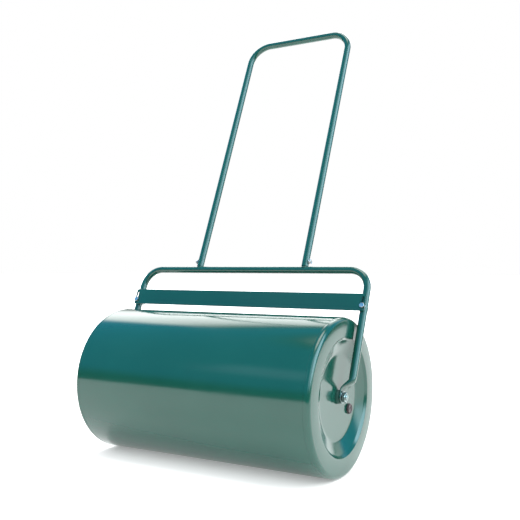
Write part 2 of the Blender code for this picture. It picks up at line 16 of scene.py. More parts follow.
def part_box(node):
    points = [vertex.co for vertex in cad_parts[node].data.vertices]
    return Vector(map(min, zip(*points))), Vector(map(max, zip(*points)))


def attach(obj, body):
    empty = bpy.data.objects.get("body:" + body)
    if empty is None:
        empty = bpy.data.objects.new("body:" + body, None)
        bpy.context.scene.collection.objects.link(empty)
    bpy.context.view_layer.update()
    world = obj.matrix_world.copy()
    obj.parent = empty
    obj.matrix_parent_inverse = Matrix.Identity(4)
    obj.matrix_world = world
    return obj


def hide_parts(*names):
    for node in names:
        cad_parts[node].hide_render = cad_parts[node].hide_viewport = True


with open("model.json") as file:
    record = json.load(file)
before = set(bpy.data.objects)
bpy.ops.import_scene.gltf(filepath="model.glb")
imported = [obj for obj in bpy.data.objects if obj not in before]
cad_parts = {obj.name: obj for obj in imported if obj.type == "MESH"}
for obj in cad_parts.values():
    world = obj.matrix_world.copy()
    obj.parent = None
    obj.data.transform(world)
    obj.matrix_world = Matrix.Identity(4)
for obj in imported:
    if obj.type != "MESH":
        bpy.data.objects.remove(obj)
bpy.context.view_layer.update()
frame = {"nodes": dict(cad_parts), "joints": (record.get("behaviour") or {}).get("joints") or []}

# ---------------------------------------------------------------- places read from the frame

JOINTS = {joint["name"]: joint for joint in frame["joints"]}
SLIDE_AXIS = Vector(JOINTS["scraper_adjust"]["axis"])


def middle(node):
    low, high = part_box(node)
    return (low + high) / 2


def inner_outer(node):
    """The x positions of a right-hand node's inner and outer ends."""
    low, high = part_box(node)
    return low.x, high.x


AXLE_Z = JOINTS["drum_spin"]["pos_m"][2]
LEAN = math.atan2(-SLIDE_AXIS.y, -SLIDE_AXIS.z)
DRUM_RADIUS = AXLE_Z
DRUM_HALF_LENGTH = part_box("end_plate_right")[1].x
BARREL_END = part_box("drum_barrel")[1].x
FLANGE_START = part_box("end_plate_right")[0].x
THRUST_X = inner_outer("thrust_washer_right")
AXLE_WASHER_X = inner_outer("axle_washer_right")
AXLE_NUT_X = inner_outer("axle_nut_right")
AXLE_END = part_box("axle_rod")[1].x
BUSH_X = inner_outer("axle_bush_right")
PLUG = middle("filler_plug")
SEAL_X = inner_outer("filler_seal")
PLUG_X = inner_outer("filler_plug")
DRUM_MATRIX = Matrix.Translation((0.0, 0.0, AXLE_Z))
FRAME_MATRIX = DRUM_MATRIX @ Matrix.Rotation(-LEAN, 4, "X")

# ---------------------------------------------------------------- sizes shared with the CAD model

GAP = 0.0003
SHEET = 0.0015
CORNER_RADIUS = 0.009
DISH_RADIUS = 0.120
RIM_BEND = 0.002
WALL_RADIUS = 0.114
WALL_DEPTH = 0.0045
WALL_BEND = 0.010
FLOOR_RADIUS = 0.0865
DISH_DEPTH = 0.0145
FLOOR_BEND = 0.025
SLEEVE_INNER = 0.0095
BUSH_FLANGE = 0.014
BUSH_FLANGE_THICKNESS = 0.0045

AXLE_RADIUS = 0.006
AXLE_PITCH = 0.00175
AXLE_WASHER_RADIUS = 0.0125
AXLE_NUT_FLATS = 0.019

TUBE_RADIUS = 0.008
TUBE_WALL = 0.0012
ARM_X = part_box("lower_frame")[1].x - TUBE_RADIUS
BAR_HEIGHT = 0.276
FRAME_BEND = 0.045
TAB_THICKNESS = 0.0030
TAB_HALF_WIDTH = 0.012
TAB_X = THRUST_X[1] + GAP + TAB_THICKNESS / 2
CRANK_LOW = 0.014
CRANK_HIGH = 0.038
PRESS_LOW = 0.016
ROUND_FROM = 0.044

LEG_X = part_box("handle")[1].x - TUBE_RADIUS
HANDLE_HEIGHT = 0.9316                # a hair under the CAD model's, whose tube has flats on top
HANDLE_BEND = 0.050
HANDLE_FOOT = BAR_HEIGHT + TUBE_RADIUS + 2 * GAP
SPIGOT_RADIUS = 0.0065
SPIGOT_TOP = 0.325
HANDLE_SCREW_HEIGHT = 0.2965

SCREW_RADIUS = 0.003
SCREW_PITCH = 0.001
SCREW_HEAD_HEIGHT = 0.0036
SMALL_FLATS = 0.010
SMALL_NUT_HEIGHT = 0.0050
SMALL_WASHER_RADIUS = 0.0062
SMALL_WASHER_THICKNESS = 0.0012
SPACER_THICKNESS = 0.0016
BOLT_TAIL = 0.0015

BLADE_LOW = 0.1804
BLADE_HIGH = 0.2184
BLADE_HALF_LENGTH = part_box("scraper_blade")[1].x
BLADE_THICKNESS = 0.0025
BLADE_CORNER = 0.003
SCRAPER_BOLT_HEIGHT = 0.1915
SLOT_TRAVEL = 0.017
SLOT_RADIUS = 0.0034
SPACER_FRONT = -(TUBE_RADIUS + GAP + SPACER_THICKNESS)
BLADE_BACK = SPACER_FRONT - GAP
BLADE_FRONT = BLADE_BACK - BLADE_THICKNESS
BOLT_HEAD_BACK = BLADE_FRONT - GAP

# ---------------------------------------------------------------- how finely the skins are cut

DRUM_STEPS = 256
ROUND_STEPS = 72
TUBE_STEPS = 40
BEND_STEPS = 5
QUARTER = math.pi / 2
SMOOTH_ANGLE = math.radians(32)
MERGE_DISTANCE = 1e-7
EDGE_BEND = 0.0005                    # the usual softening of an edge
LEFT = -1
RIGHT = 1
SIDES = (("left", LEFT), ("right", RIGHT))


# ---------------------------------------------------------------- mesh building

def loft(rings, closed=False, capped=True):
    """Quads between rings of points, each ring closing on itself.

    closed joins the last ring to the first. Otherwise capped fills both ends.
    """
    bm = bmesh.new()
    rows = [[bm.verts.new(point) for point in ring] for ring in rings]
    pairs = list(zip(rows, rows[1:]))
    if closed:
        pairs.append((rows[-1], rows[0]))
    for row, after in pairs:
        for i in range(len(row)):
            k = (i + 1) % len(row)
            bm.faces.new((row[i], row[k], after[k], after[i]))
    if capped and not closed:
        bm.faces.new(rows[0])
        bm.faces.new(rows[-1])
    bmesh.ops.remove_doubles(bm, verts=bm.verts, dist=MERGE_DISTANCE)
    return bm


def lathe(section, steps):
    """A closed (radius, x) section turned about X. section may be a function of the angle."""
    rings = []
    for i in range(steps):
        angle = 2 * math.pi * i / steps - QUARTER
        points = section(angle) if callable(section) else section
        rings.append([Vector((x, r * math.cos(angle), r * math.sin(angle))) for r, x in points])
    return loft(rings, closed=True)


def make_object(name, bm, matrix):
    bmesh.ops.recalc_face_normals(bm, faces=bm.faces)
    mesh = bpy.data.meshes.new(name)
    bm.to_mesh(mesh)
    bm.free()
    mesh.transform(matrix)
    obj = bpy.data.objects.new(name, mesh)
    bpy.context.scene.collection.objects.link(obj)
    return obj


def cut(obj, cutters):
    """Takes the cutters' shapes out of obj and applies the result."""
    for cutter in cutters:
        modifier = obj.modifiers.new("cut", "BOOLEAN")
        modifier.operation = "DIFFERENCE"
        modifier.solver = "EXACT"
        modifier.object = cutter
    bpy.context.view_layer.update()
    evaluated = obj.evaluated_get(bpy.context.evaluated_depsgraph_get())
    mesh = bpy.data.meshes.new_from_object(evaluated)
    obj.modifiers.clear()
    obj.data = mesh
    for cutter in cutters:
        bpy.data.objects.remove(cutter, do_unlink=True)


def add_piece(name, bm, matrix, body, material, nodes, cutters=()):
    """A finished piece: cut, shaded, painted, riding on its body and standing for its CAD nodes."""
    obj = make_object(name, bm, matrix)
    if cutters:
        cut(obj, cutters)
    obj.data.materials.clear()
    obj.data.materials.append(material)
    obj.data.shade_smooth()
    obj.data.set_sharp_from_angle(angle=SMOOTH_ANGLE)
    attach(obj, body)
    if nodes:
        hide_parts(*nodes)
    return obj


def drill(radius, start, end, matrix, steps=32):
    """A round cutter along X."""
    rings = [[Vector((x, *spoke(radius, i, steps))) for i in range(steps)] for x in (start, end)]
    return make_object("drill", loft(rings), matrix)


def spoke(radius, index, count):
    angle = 2 * math.pi * index / count
    return radius * math.cos(angle), radius * math.sin(angle)


def eased(corners, closed=True):
    """A (radius, x) line through (radius, x, bend) corners, with each bend rounded."""
    points = []
    count = len(corners)
    for i, (r, x, bend) in enumerate(corners):
        here = Vector((r, x))
        if not bend:
            points.append(tuple(here))
            continue
        before = Vector(corners[i - 1][:2])
        after = Vector(corners[(i + 1) % count][:2])
        run_in = (here - before).normalized()
        run_out = (after - here).normalized()
        turn = run_in.angle_signed(run_out)
        inward = Vector((run_in.y, -run_in.x)) * math.copysign(1.0, turn)
        start = here - run_in * bend * math.tan(abs(turn) / 2)
        centre = start + inward * bend
        steps = max(2, round(BEND_STEPS * abs(turn) / QUARTER) + 2)
        for step in range(steps + 1):
            arm = Matrix.Rotation(-turn * step / steps, 2) @ (start - centre)
            points.append(tuple(centre + arm))
    return points


def mirror_x(points, sign):
    return [(r, sign * x) for r, x in points]


def smooth_step(value):
    value = max(0.0, min(1.0, value))
    return value * value * (3 - 2 * value)


def beside(points, distance):
    """The line at a distance to the left of an open (radius, x) line."""
    moved = []
    last = len(points) - 1
    for i, point in enumerate(points):
        here = Vector(point)
        runs = []
        if i > 0:
            runs.append((here - Vector(points[i - 1])).normalized())
        if i < last:
            runs.append((Vector(points[i + 1]) - here).normalized())
        normals = [Vector((-run.y, run.x)) for run in runs]
        mitre = sum(normals, Vector((0.0, 0.0))).normalized()
        moved.append(tuple(here + mitre * distance / max(mitre.dot(normals[0]), 0.5)))
    return moved


# ---------------------------------------------------------------- drum

SEAM_ANGLE = math.radians(8)          # the barrel's lengthwise weld, low at the back
SEAM_WIDTH = math.radians(1.6)
SEAM_RISE = 0.00035
SEAM_GAP = 0.0001


def barrel_section(angle):
    wrapped = (angle - SEAM_ANGLE + math.pi) % (2 * math.pi) - math.pi
    rise = SEAM_RISE * smooth_step(1 - abs(wrapped) / SEAM_WIDTH)
    outer = DRUM_RADIUS + rise - SEAM_RISE * smooth_step(1 - abs(wrapped) / (3 * SEAM_WIDTH)) / 2
    inner = DRUM_RADIUS - SHEET
    return eased([
        (inner, -BARREL_END, 0), (outer, -BARREL_END, SEAM_GAP),
        (outer, BARREL_END, SEAM_GAP), (inner, BARREL_END, 0),
    ])


def end_plate_section():
    """The right end plate's section: its outer face from the flange to the middle hole, and back."""
    tuck = DRUM_RADIUS - SHEET - GAP
    step = BARREL_END + SEAM_GAP
    floor = DRUM_HALF_LENGTH - DISH_DEPTH
    face = eased([
        (tuck, FLANGE_START, 0),
        (tuck, step, 0),
        (DRUM_RADIUS, step + SEAM_GAP, SEAM_GAP),
        (DRUM_RADIUS, DRUM_HALF_LENGTH, CORNER_RADIUS),
        (DISH_RADIUS, DRUM_HALF_LENGTH, RIM_BEND),
        (WALL_RADIUS, DRUM_HALF_LENGTH - WALL_DEPTH, WALL_BEND),
        (FLOOR_RADIUS, floor, FLOOR_BEND),
        (SLEEVE_INNER, floor, 0),
    ])
    return face + beside(face, SHEET)[::-1]


def build_drum(paint, nylon):
    add_piece("barrel", lathe(barrel_section, DRUM_STEPS), DRUM_MATRIX,
              "drum", paint, ["drum_barrel"])
    for side, sign in SIDES:
        cutters = []
        if sign == RIGHT:
            thread = (PLUG_RADIUS + GAP, PLUG.x - 3 * PLUG_RADIUS, PLUG.x + PLUG_RADIUS)
            cutters.append(drill(*thread, Matrix.Translation((0.0, PLUG.y, PLUG.z))))
        section = mirror_x(end_plate_section(), sign)
        add_piece("end_plate_skin_" + side, lathe(section, DRUM_STEPS), DRUM_MATRIX,
                  "drum", paint, ["end_plate_" + side], cutters)
        add_piece("bush_" + side, lathe(mirror_x(bush_section(), sign), ROUND_STEPS), DRUM_MATRIX,
                  "drum", nylon, ["axle_bush_" + side])


def bush_section():
    inner, face = BUSH_X
    root = face - BUSH_FLANGE_THICKNESS
    body = SLEEVE_INNER - GAP
    bore = AXLE_RADIUS + GAP
    return eased([
        (bore, inner, 0), (body, inner, EDGE_BEND), (body, root, 0), (BUSH_FLANGE, root, EDGE_BEND / 2),
        (BUSH_FLANGE, face, EDGE_BEND), (bore, face, EDGE_BEND / 2),
    ])


# ---------------------------------------------------------------- filler plug

PLUG_RADIUS = 0.0075
PLUG_HEAD_RADIUS = 0.0100
PLUG_HEAD_HEIGHT = 0.0032
PLUG_DIMPLE = 0.0014
PLUG_WALL = 0.0021
PLUG_PITCH = 0.0015
PLUG_RIBS = 28
RIB_DEPTH = 0.00035
GRIP_HALF_WIDTH = 0.0011
GRIP_TURN = math.radians(25)
SEAL_RADIUS = 0.0108
SEAL_BEND = 0.0003
THREAD_STEPS = 8                      # points along each turn of a thread
THREAD_SLOPE = 1.3                    # how steep its flanks are, and how wide its flat crest
THREAD_CREST = 0.15


def thread_radius(crest, pitch, depth, x, angle):
    phase = (x / pitch - angle / (2 * math.pi)) % 1.0
    ramp = 2 * abs(phase - 0.5)
    return crest - depth * max(0.0, min(1.0, THREAD_SLOPE * ramp - THREAD_CREST))


def thread_line(crest, pitch, depth, start, end, chamfer, angle):
    """The (radius, x) points of a screw thread from start to end, chamfered at its end."""
    steps = max(4, math.ceil(abs(end - start) / pitch * THREAD_STEPS))
    points = []
    for i in range(steps + 1):
        x = start + (end - start) * i / steps
        limit = crest - max(0.0, chamfer - abs(end - x))
        points.append((min(limit, thread_radius(crest, pitch, depth, x, angle)), x))
    return points


def plug_section(angle):
    tail, face = PLUG_X
    under_head = face - PLUG_HEAD_HEIGHT
    rim = PLUG_HEAD_RADIUS - RIB_DEPTH * (0.5 + 0.5 * math.cos(PLUG_RIBS * angle))
    depth = PLUG_PITCH / 2
    start = under_head - PLUG_PITCH
    thread = thread_line(PLUG_RADIUS, PLUG_PITCH, depth, start, tail, EDGE_BEND, angle)
    wall = PLUG_HEAD_RADIUS - PLUG_WALL
    floor = face - PLUG_DIMPLE
    head = eased([
        (rim, under_head, 0), (rim, face, 2 * EDGE_BEND), (wall, face, EDGE_BEND),
        (wall - EDGE_BEND, floor, EDGE_BEND), (0.0, floor, 0),
    ])
    return [(0.0, tail)] + thread[::-1] + [(PLUG_RADIUS - depth, under_head)] + head


def rounded_box(low, high, bend, steps=3):
    """A block from low to high with its edges along Z rounded and its top and bottom edges chamfered."""
    rings = []
    half = bend / 2
    for z, inset in ((low.z, half), (low.z + half, 0.0), (high.z - half, 0.0), (high.z, half)):
        outline = round_rect(low.x + inset, low.y + inset, high.x - inset, high.y - inset, bend, steps)
        rings.append([Vector((x, y, z)) for x, y in outline])
    return loft(rings)


def round_rect(low_x, low_y, high_x, high_y, bend, steps):
    points = []
    corners = (
        (high_x - bend, high_y - bend, 0), (low_x + bend, high_y - bend, 1),
        (low_x + bend, low_y + bend, 2), (high_x - bend, low_y + bend, 3),
    )
    for x, y, quarter in corners:
        for i in range(steps + 1):
            angle = QUARTER * (quarter + i / steps)
            points.append((x + bend * math.cos(angle), y + bend * math.sin(angle)))
    return points


def build_plug(plastic, rubber):
    place = Matrix.Translation((0.0, PLUG.y, PLUG.z))
    add_piece("plug", lathe(plug_section, 4 * PLUG_RIBS), place,
              "filler_cap", plastic, ["filler_plug"])
    reach = PLUG_HEAD_RADIUS - PLUG_WALL
    floor = PLUG_X[1] - PLUG_DIMPLE
    low = Vector((-GRIP_HALF_WIDTH, -reach, floor - EDGE_BEND))
    high = Vector((GRIP_HALF_WIDTH, reach, PLUG_X[1] - EDGE_BEND / 2))
    grip = rounded_box(low, high, EDGE_BEND)
    upright = Matrix.Rotation(QUARTER, 4, "Y") @ Matrix.Rotation(GRIP_TURN, 4, "Z")
    add_piece("plug_grip", grip, place @ upright, "filler_cap", plastic, [])
    bore = PLUG_RADIUS + GAP
    seal = eased([
        (bore, SEAL_X[0], 0), (SEAL_RADIUS, SEAL_X[0], SEAL_BEND),
        (SEAL_RADIUS, SEAL_X[1], SEAL_BEND), (bore, SEAL_X[1], 0),
    ])
    add_piece("plug_seal", lathe(seal, ROUND_STEPS), place, "filler_cap", rubber, ["filler_seal"])


# ---------------------------------------------------------------- axle and fasteners

CHAMFER_SLOPE = math.tan(math.radians(30))
CORNER_TRIM = 1.145                   # a hexagon's corners, softened, over half its flats
FACE_SHARE = 0.475                    # the radius of a nut's round face over its flats
AXLE_THREAD_DEPTH = 0.55 * AXLE_PITCH
NUT_TURN = {"left": 12.0, "right": 35.0}
SCREW_TURN = 20.0


def hex_radius(angle, flats):
    sector = (angle + math.pi / 6) % (math.pi / 3) - math.pi / 6
    return min(flats / 2 / math.cos(sector), CORNER_TRIM * flats / 2)


def nut_section(flats, height, bore):
    """A chamfered hexagonal nut's section as a function of the angle, from x = 0 to its height."""
    flat_circle = FACE_SHARE * flats
    mouth = bore + EDGE_BEND

    def section(angle):
        r = hex_radius(angle, flats)
        drop = CHAMFER_SLOPE * (r - flat_circle) + EDGE_BEND / 5
        return [
            (bore, EDGE_BEND), (mouth, 0.0), (flat_circle, 0.0), (r, drop),
            (r, height - drop), (flat_circle, height), (mouth, height), (bore, height - EDGE_BEND),
        ]
    return section


def bolt_section(flats, head, shank, length, pitch):
    """A hexagonal-headed screw's section: its head ends at x = 0 and its thread runs on from there."""
    flat_circle = FACE_SHARE * flats

    def section(angle):
        r = hex_radius(angle, flats)
        drop = CHAMFER_SLOPE * (r - flat_circle) + EDGE_BEND / 5
        thread = thread_line(shank, pitch, pitch / 2, pitch / 2, length, EDGE_BEND, angle)
        return [
            (0.0, EDGE_BEND / 2 - head), (flat_circle - 2 * EDGE_BEND, EDGE_BEND / 2 - head),
            (flat_circle - EDGE_BEND, -head), (flat_circle, -head), (r, drop - head),
            (r, -EDGE_BEND), (flat_circle, 0.0), (shank, 0.0), *thread, (0.0, length),
        ]
    return section


def washer_section(bore, outer, start, end):
    bend = min(EDGE_BEND, 0.45 * (end - start))
    return eased([
        (bore, start, bend / 2), (outer, start, bend), (outer, end, bend), (bore, end, bend / 2),
    ])


def axle_section(angle):
    """The axle's section: plain between its threaded ends."""
    threaded = AXLE_NUT_X[0] - AXLE_PITCH
    thread = (AXLE_RADIUS, AXLE_PITCH, AXLE_THREAD_DEPTH)
    right = thread_line(*thread, threaded, AXLE_END, 2 * EDGE_BEND, angle)
    left = thread_line(*thread, -threaded, -AXLE_END, 2 * EDGE_BEND, angle)
    return [(0.0, -AXLE_END)] + left[::-1] + right + [(0.0, AXLE_END)]


def turned_out(sign):
    """Faces a piece drawn along +X to the right-hand or left-hand side."""
    return Matrix.Identity(4) if sign == RIGHT else Matrix.Rotation(math.pi, 4, "Z")


def spin(degrees):
    return Matrix.Rotation(math.radians(degrees), 4, "X")


def build_axle(zinc, nylon):
    add_piece("axle", lathe(axle_section, ROUND_STEPS), FRAME_MATRIX, "frame", zinc, ["axle_rod"])
    bore = AXLE_RADIUS + GAP
    nut_height = AXLE_NUT_X[1] - AXLE_NUT_X[0]
    for side, sign in SIDES:
        facing = FRAME_MATRIX @ turned_out(sign)
        thrust = lathe(washer_section(bore, AXLE_WASHER_RADIUS, *THRUST_X), ROUND_STEPS)
        add_piece("thrust_ring_" + side, thrust, facing, "frame", nylon, ["thrust_washer_" + side])
        outer = lathe(washer_section(bore, AXLE_WASHER_RADIUS, *AXLE_WASHER_X), ROUND_STEPS)
        add_piece("flat_washer_" + side, outer, facing, "frame", zinc, ["axle_washer_" + side])
        nut = lathe(nut_section(AXLE_NUT_FLATS, nut_height, bore), 2 * ROUND_STEPS)
        place = Matrix.Translation((AXLE_NUT_X[0], 0.0, 0.0)) @ spin(NUT_TURN[side])
        add_piece("hex_nut_" + side, nut, facing @ place, "frame", zinc, ["axle_nut_" + side])


# ---------------------------------------------------------------- tubes

TAB_ANGLES = (86, 76, 66, 56, 46, 36, 26, 14, 0)    # stations round the arm's rounded end, in degrees


class Station:
    """One cross-section of a swept tube: round, or pressed flat with round edges."""

    def __init__(self, x, z, heading, half_thickness, half_width):
        self.centre = Vector((x, 0.0, z))
        self.side = Vector((math.cos(heading), 0.0, -math.sin(heading)))
        self.half_thickness = half_thickness
        self.half_width = half_width

    def ring(self, steps):
        edge = min(self.half_thickness, self.half_width)
        straight = self.half_width - edge
        points = []
        for i in range(steps):
            angle = 2 * math.pi * (i + 0.5) / steps
            across = edge * math.sin(angle) + math.copysign(straight, math.sin(angle))
            out = self.side * self.half_thickness * math.cos(angle)
            points.append(self.centre + out + Vector((0.0, across, 0.0)))
        return points

    def mirrored(self):
        copy = Station(-self.centre.x, self.centre.z, 0.0, self.half_thickness, self.half_width)
        copy.side = Vector((-self.side.x, 0.0, self.side.z))
        return copy


def with_mirror(stations):
    return stations + [station.mirrored() for station in reversed(stations)]


def loop_half(half_span, foot, top, bend, radius):
    """The right half of an upside-down U: up the leg, round the bend and to the middle of the top."""
    steps = 6 * BEND_STEPS
    stations = [Station(half_span, foot, 0.0, radius, radius)]
    for i in range(steps + 1):
        turn = QUARTER * i / steps
        x = half_span - bend + bend * math.cos(turn)
        z = top - bend + bend * math.sin(turn)
        stations.append(Station(x, z, -turn, radius, radius))
    return stations


def arm_half():
    """The right arm from its rounded tab, through the crank, to where the tube is round."""
    half = TAB_THICKNESS / 2
    stations = []
    for degrees in TAB_ANGLES:
        angle = math.radians(degrees)
        width = TAB_HALF_WIDTH * math.cos(angle)
        stations.append(Station(TAB_X, -TAB_HALF_WIDTH * math.sin(angle), 0.0, half, width))
    rise = CRANK_HIGH - CRANK_LOW
    shift = ARM_X - TAB_X
    steps = 5 * BEND_STEPS
    for i in range(steps + 1):
        part = i / steps
        slope = shift * 6 * part * (1 - part) / rise
        height = CRANK_LOW + rise * part
        x = TAB_X + shift * smooth_step(part)
        stations.append(Station(x, height, math.atan(slope), *pressed(height)))
    for i in range(1, BEND_STEPS + 1):
        height = CRANK_HIGH + (ROUND_FROM - CRANK_HIGH) * i / BEND_STEPS
        stations.append(Station(ARM_X, height, 0.0, *pressed(height)))
    return stations


def pressed(height):
    """Half thickness and half width of the arm's tube at a height above the axle."""
    part = smooth_step((height - PRESS_LOW) / (ROUND_FROM - PRESS_LOW))
    half = TAB_THICKNESS / 2
    thickness = half + (TUBE_RADIUS - half) * part
    width = TAB_HALF_WIDTH + (TUBE_RADIUS - TAB_HALF_WIDTH) * part
    return thickness, width


def sweep(stations):
    return loft([station.ring(TUBE_STEPS) for station in stations])


def build_lower_frame(paint):
    loop = loop_half(ARM_X, ROUND_FROM, BAR_HEIGHT, FRAME_BEND, TUBE_RADIUS)
    stations = with_mirror(arm_half() + loop[1:])
    hollow = with_mirror(loop_half(ARM_X, ROUND_FROM, BAR_HEIGHT, FRAME_BEND, TUBE_RADIUS - TUBE_WALL))
    cutters = [make_object("bore", sweep(hollow), FRAME_MATRIX)]
    for _, sign in SIDES:
        tab = FRAME_MATRIX @ Matrix.Translation((sign * TAB_X, 0.0, 0.0))
        cutters.append(drill(AXLE_RADIUS + GAP, -TUBE_RADIUS, TUBE_RADIUS, tab))
        bolt = FRAME_MATRIX @ Matrix.Translation((sign * ARM_X, 0.0, SCRAPER_BOLT_HEIGHT))
        bolt = bolt @ Matrix.Rotation(QUARTER, 4, "Z")
        cutters.append(drill(SCREW_RADIUS + GAP, -2 * TUBE_RADIUS, 2 * TUBE_RADIUS, bolt))
    add_piece("frame_tube", sweep(stations), FRAME_MATRIX, "frame", paint,
              ["lower_frame"], cutters)


def build_handle(paint, zinc):
    outer = with_mirror(loop_half(LEG_X, HANDLE_FOOT, HANDLE_HEIGHT, HANDLE_BEND, TUBE_RADIUS))
    inner = with_mirror(loop_half(LEG_X, HANDLE_FOOT, HANDLE_HEIGHT, HANDLE_BEND, TUBE_RADIUS - TUBE_WALL))
    rings = [station.ring(TUBE_STEPS) for station in outer + inner[::-1]]
    cutters = []
    for _, sign in SIDES:
        hole = FRAME_MATRIX @ Matrix.Translation((sign * LEG_X, 0.0, HANDLE_SCREW_HEIGHT))
        cutters.append(drill(SCREW_RADIUS + GAP, 0.0, 2 * TUBE_RADIUS, hole @ turned_out(sign)))
    add_piece("handle_tube", loft(rings, closed=True), FRAME_MATRIX, "frame", paint,
              ["handle"], cutters)
    for side, sign in SIDES:
        build_handle_joint(side, sign, paint, zinc)


def build_handle_joint(side, sign, paint, zinc):
    """The peg that the leg stands on, its weld, and the screw and washer that hold the leg."""
    foot = FRAME_MATRIX @ Matrix.Translation((sign * LEG_X, 0.0, 0.0))
    profile = eased([
        (0.0, BAR_HEIGHT, 0), (SPIGOT_RADIUS, BAR_HEIGHT, 0), (SPIGOT_RADIUS, SPIGOT_TOP, 2 * EDGE_BEND),
        (0.0, SPIGOT_TOP, 0),
    ])
    upright = foot @ Matrix.Rotation(-QUARTER, 4, "Y")
    bar = foot @ Matrix.Translation((0.0, 0.0, BAR_HEIGHT))
    screw = foot @ Matrix.Translation((0.0, 0.0, HANDLE_SCREW_HEIGHT)) @ turned_out(sign)
    cutters = [
        drill(TUBE_RADIUS + GAP, -2 * TUBE_RADIUS, 2 * TUBE_RADIUS, bar),
        drill(SCREW_RADIUS + GAP, 0.0, 2 * TUBE_RADIUS, screw),
    ]
    add_piece("handle_peg_" + side, lathe(profile, TUBE_STEPS), upright, "frame", paint,
              ["handle_spigot_" + side], cutters)
    add_piece("peg_weld_" + side, weld_bead(), foot, "frame", paint, [])

    start = TUBE_RADIUS + GAP
    end = start + SMALL_WASHER_THICKNESS
    ring = lathe(washer_section(SCREW_RADIUS + GAP, SMALL_WASHER_RADIUS, start, end), ROUND_STEPS)
    add_piece("leg_washer_" + side, ring, screw, "frame", zinc, ["handle_washer_" + side])
    head_back = end + GAP
    bolt = bolt_section(SMALL_FLATS, SCREW_HEAD_HEIGHT, SCREW_RADIUS, head_back - 2 * GAP, SCREW_PITCH)
    inward = screw @ Matrix.Translation((head_back, 0.0, 0.0)) @ Matrix.Rotation(math.pi, 4, "Z")
    inward = inward @ spin(SCREW_TURN)
    add_piece("leg_screw_" + side, lathe(bolt, 2 * ROUND_STEPS), inward, "frame", zinc,
              ["handle_screw_" + side])


WELD_STEPS = 84
WELD_SIDES = 12
WELD_RIPPLES = 21
WELD_RIPPLE = 0.00008
WELD_OFFSET = 0.0004                  # from the peg's side to the middle of the bead
WELD_SIZE = 0.0005
WELD_SWELL = 0.0011                   # how much thicker it is down the bar's sides


def weld_bead():
    """A rippled fillet weld round the peg, where it meets the round cross bar."""
    rings = []
    for i in range(WELD_STEPS):
        around = 2 * math.pi * i / WELD_STEPS
        outward = Vector((math.cos(around), math.sin(around), 0.0))
        reach = SPIGOT_RADIUS + WELD_OFFSET
        base = outward * reach
        base.z = BAR_HEIGHT + math.sqrt(TUBE_RADIUS ** 2 - base.y ** 2)
        size = WELD_SIZE + WELD_SWELL * abs(math.sin(around))
        size += WELD_RIPPLE * math.sin(WELD_RIPPLES * around)
        ring = []
        for k in range(WELD_SIDES):
            across, up = spoke(size, k, WELD_SIDES)
            ring.append(base + outward * across + Vector((0.0, 0.0, up)))
        rings.append(ring)
    return loft(rings, closed=True)


# ---------------------------------------------------------------- scraper

BLADE_CHAMFER = 0.0004


def build_scraper(paint, zinc):
    rings = []
    for y, inset in (
        (BLADE_FRONT, BLADE_CHAMFER), (BLADE_FRONT + BLADE_CHAMFER, 0.0),
        (BLADE_BACK - BLADE_CHAMFER, 0.0), (BLADE_BACK, BLADE_CHAMFER),
    ):
        end = BLADE_HALF_LENGTH - inset
        outline = round_rect(-end, BLADE_LOW + inset, end, BLADE_HIGH - inset,
                             BLADE_CORNER - inset, BEND_STEPS)
        rings.append([Vector((x, y, z)) for x, z in outline])
    cutters = []
    for _, sign in SIDES:
        slot = []
        for y in (BLADE_FRONT - SHEET, BLADE_BACK + SHEET):
            outline = round_rect(-SLOT_RADIUS, -SLOT_RADIUS, SLOT_RADIUS, SLOT_TRAVEL + SLOT_RADIUS,
                                 SLOT_RADIUS, 2 * BEND_STEPS)
            slot.append([Vector((sign * ARM_X + x, y, SCRAPER_BOLT_HEIGHT + z)) for x, z in outline])
        cutters.append(make_object("slot", loft(slot), FRAME_MATRIX))
    add_piece("blade", loft(rings), FRAME_MATRIX, "scraper", paint,
              ["scraper_blade"], cutters)
    for side, sign in SIDES:
        build_scraper_fixing(side, sign, zinc)


def build_scraper_fixing(side, sign, zinc):
    """A bolt through slot and arm, with the washers and the nut on it, drawn along +X from the front."""
    place = FRAME_MATRIX @ Matrix.Translation((sign * ARM_X, 0.0, SCRAPER_BOLT_HEIGHT))
    place = place @ Matrix.Rotation(QUARTER, 4, "Z")
    bore = SCREW_RADIUS + GAP
    rear = TUBE_RADIUS + GAP
    nut_start = rear + SMALL_WASHER_THICKNESS + GAP
    length = nut_start + SMALL_NUT_HEIGHT + BOLT_TAIL - BOLT_HEAD_BACK
    bolt = bolt_section(SMALL_FLATS, SCREW_HEAD_HEIGHT, SCREW_RADIUS, length, SCREW_PITCH)
    front = place @ Matrix.Translation((BOLT_HEAD_BACK, 0.0, 0.0)) @ spin(NUT_TURN[side])
    add_piece("blade_bolt_" + side, lathe(bolt, 2 * ROUND_STEPS), front, "frame", zinc,
              ["scraper_bolt_" + side])
    spacer = washer_section(bore, SMALL_WASHER_RADIUS, SPACER_FRONT, SPACER_FRONT + SPACER_THICKNESS)
    add_piece("blade_spacer_" + side, lathe(spacer, ROUND_STEPS), place, "frame", zinc,
              ["scraper_spacer_" + side])
    washer = washer_section(bore, SMALL_WASHER_RADIUS, rear, rear + SMALL_WASHER_THICKNESS)
    add_piece("rear_washer_" + side, lathe(washer, ROUND_STEPS), place, "frame", zinc,
              ["scraper_washer_" + side])
    nut = lathe(nut_section(SMALL_FLATS, SMALL_NUT_HEIGHT, bore), 2 * ROUND_STEPS)
    back = place @ Matrix.Translation((nut_start, 0.0, 0.0)) @ spin(-NUT_TURN[side])
    add_piece("blade_nut_" + side, nut, back, "frame", zinc, ["scraper_nut_" + side])


# ---------------------------------------------------------------- finishes

